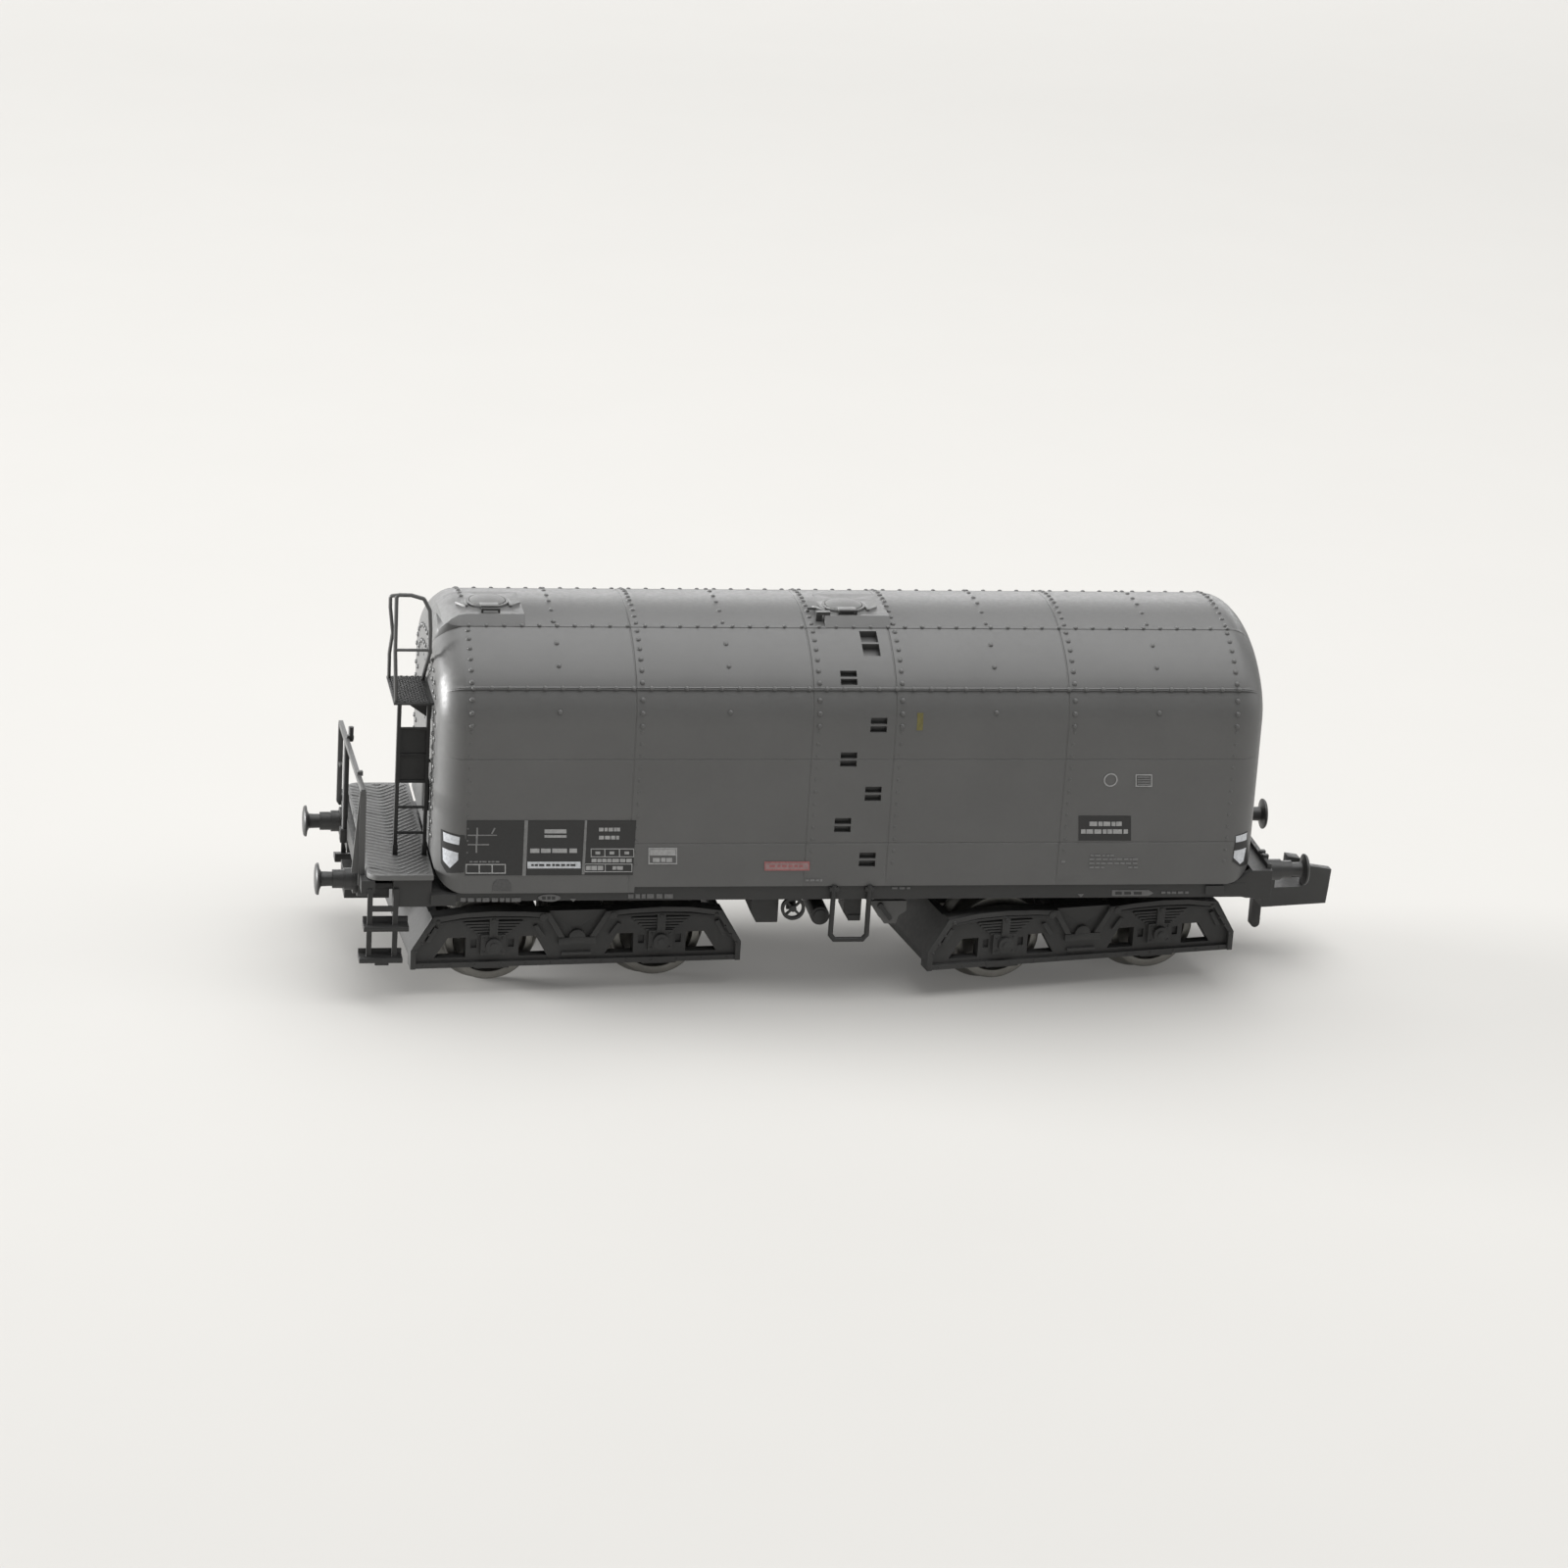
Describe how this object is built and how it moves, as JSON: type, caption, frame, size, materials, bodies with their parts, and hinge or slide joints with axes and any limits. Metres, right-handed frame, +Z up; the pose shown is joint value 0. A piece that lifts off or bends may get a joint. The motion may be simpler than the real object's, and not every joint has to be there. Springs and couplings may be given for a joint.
{
  "type": "model tank wagon",
  "caption": "Model railway tank wagon in N scale: arched riveted tank on two swivelling bogies, with brakeman platform, ladder, railing, buffers and a hook coupler.",
  "frame": {"origin": "midway between the two bogie pivots, on the plane the wheel flanges rest on", "axes": "+X along the wagon towards end B (the end with the hook coupler); -X is end A with the platform and ladder; +Y to the far side; +Z up"},
  "size_m": [0.0703, 0.0186, 0.0271],
  "materials": {
    "tank_grey": "matt mid-grey moulding",
    "deck_grey": "matt grey, ribbed tread",
    "underframe_dark": "matt near-black moulding",
    "bogie_plastic": "matt near-black moulding",
    "detail_black": "matt black moulding",
    "ladder_black": "matt black moulding",
    "handle_dark": "matt dark grey",
    "railing_grey": "matt grey moulding",
    "buffer_plastic": "satin black moulding",
    "coupler_plastic": "matt dark grey moulding",
    "plate_grey": "matt light grey",
    "bush_plastic": "black insulating plastic",
    "wheel_blackened": "chemically blackened metal",
    "axle_steel": "turned steel",
    "spring_steel": "drawn wire",
    "fixing_steel": "plated steel",
    "ballast_steel": "plain steel plate"
  },
  "bodies": {
    "wagon": {"air_cylinder": "detail_black", "ballast_plate": "ballast_steel", "brake_column": "detail_black", "brake_crank": "detail_black", "brake_valve": "detail_black", "buffer_a_far": "buffer_plastic", "buffer_a_near": "buffer_plastic", "buffer_b_far": "buffer_plastic", "buffer_b_near": "buffer_plastic", "changeover_levers": "detail_black", "changeover_plate_far": "plate_grey", "changeover_plate_near": "plate_grey", "coupler_pins": "fixing_steel", "end_railing": "railing_grey", "end_valve_box": "ladder_black", "equipment_box": "detail_black", "handwheel_far": "detail_black", "handwheel_near": "detail_black", "hanging_step_far": "detail_black", "hanging_step_near": "detail_black", "ladder": "ladder_black", "ladder_landing": "deck_grey", "landing_hoop": "railing_grey", "manhole_handles": "handle_dark", "manhole_lever": "handle_dark", "manhole_lid_end": "tank_grey", "manhole_lid_middle": "tank_grey", "manhole_seat_end": "tank_grey", "manhole_seat_middle": "tank_grey", "pivot_screws": "fixing_steel", "platform_deck": "deck_grey", "shunter_steps_far": "detail_black", "shunter_steps_near": "detail_black", "tank_shell": "tank_grey", "tool_box": "detail_black", "underframe": "underframe_dark"},
    "bogie_a": {"bogie_frame_a": "bogie_plastic"},
    "bogie_b": {"bogie_frame_b": "bogie_plastic"},
    "wheelset_1": {"axle_1": "axle_steel", "wheel_1_near": "wheel_blackened", "wheel_1_far": "wheel_blackened", "insulating_bush_1": "bush_plastic"},
    "wheelset_2": {"axle_2": "axle_steel", "wheel_2_near": "wheel_blackened", "wheel_2_far": "wheel_blackened", "insulating_bush_2": "bush_plastic"},
    "wheelset_3": {"axle_3": "axle_steel", "wheel_3_near": "wheel_blackened", "wheel_3_far": "wheel_blackened", "insulating_bush_3": "bush_plastic"},
    "wheelset_4": {"axle_4": "axle_steel", "wheel_4_near": "wheel_blackened", "wheel_4_far": "wheel_blackened", "insulating_bush_4": "bush_plastic"},
    "coupler_pocket_a_body": {"coupler_pocket_a": "coupler_plastic"},
    "coupler_pocket_b_body": {"coupler_pocket_b": "coupler_plastic", "coupler_spring_b": "spring_steel"},
    "coupler_head_body": {"coupler_head_b": "coupler_plastic"}
  },
  "joints": [
    {"name": "bogie_a_swivel", "type": "hinge", "parent": "wagon", "child": "bogie_a", "pos_m": [-0.0168, 0, 0.0058], "axis": [0, 0, 1], "range_deg": [-15.3, 8.7]},
    {"name": "bogie_b_swivel", "type": "hinge", "parent": "wagon", "child": "bogie_b", "pos_m": [0.0168, 0, 0.0058], "axis": [0, 0, 1], "range_deg": [-21, 3]},
    {"name": "wheelset_1_spin", "type": "hinge", "parent": "bogie_a", "child": "wheelset_1", "pos_m": [-0.02242, -0.00032, 0.00365], "axis": [-0.0576, 0.9983, 0], "continuous": true},
    {"name": "wheelset_2_spin", "type": "hinge", "parent": "bogie_a", "child": "wheelset_2", "pos_m": [-0.01118, 0.00032, 0.00365], "axis": [-0.0576, 0.9983, 0], "continuous": true},
    {"name": "wheelset_3_spin", "type": "hinge", "parent": "bogie_b", "child": "wheelset_3", "pos_m": [0.01124, -0.00088, 0.00365], "axis": [-0.1564, 0.9877, 0], "continuous": true},
    {"name": "wheelset_4_spin", "type": "hinge", "parent": "bogie_b", "child": "wheelset_4", "pos_m": [0.02236, 0.00088, 0.00365], "axis": [-0.1564, 0.9877, 0], "continuous": true},
    {"name": "coupler_a_swing", "type": "hinge", "parent": "wagon", "child": "coupler_pocket_a_body", "pos_m": [-0.0252, 0, 0.0068], "axis": [0, 0, 1], "range_deg": [-10, 10]},
    {"name": "coupler_b_swing", "type": "hinge", "parent": "wagon", "child": "coupler_pocket_b_body", "pos_m": [0.0252, 0, 0.0068], "axis": [0, 0, 1], "range_deg": [-14, 6]},
    {"name": "coupler_b_lift", "type": "hinge", "parent": "coupler_pocket_b_body", "child": "coupler_head_body", "pos_m": [0.02989, 0.00033, 0.00545], "axis": [0.0698, -0.9976, 0], "range_deg": [0, 7]}
  ]
}
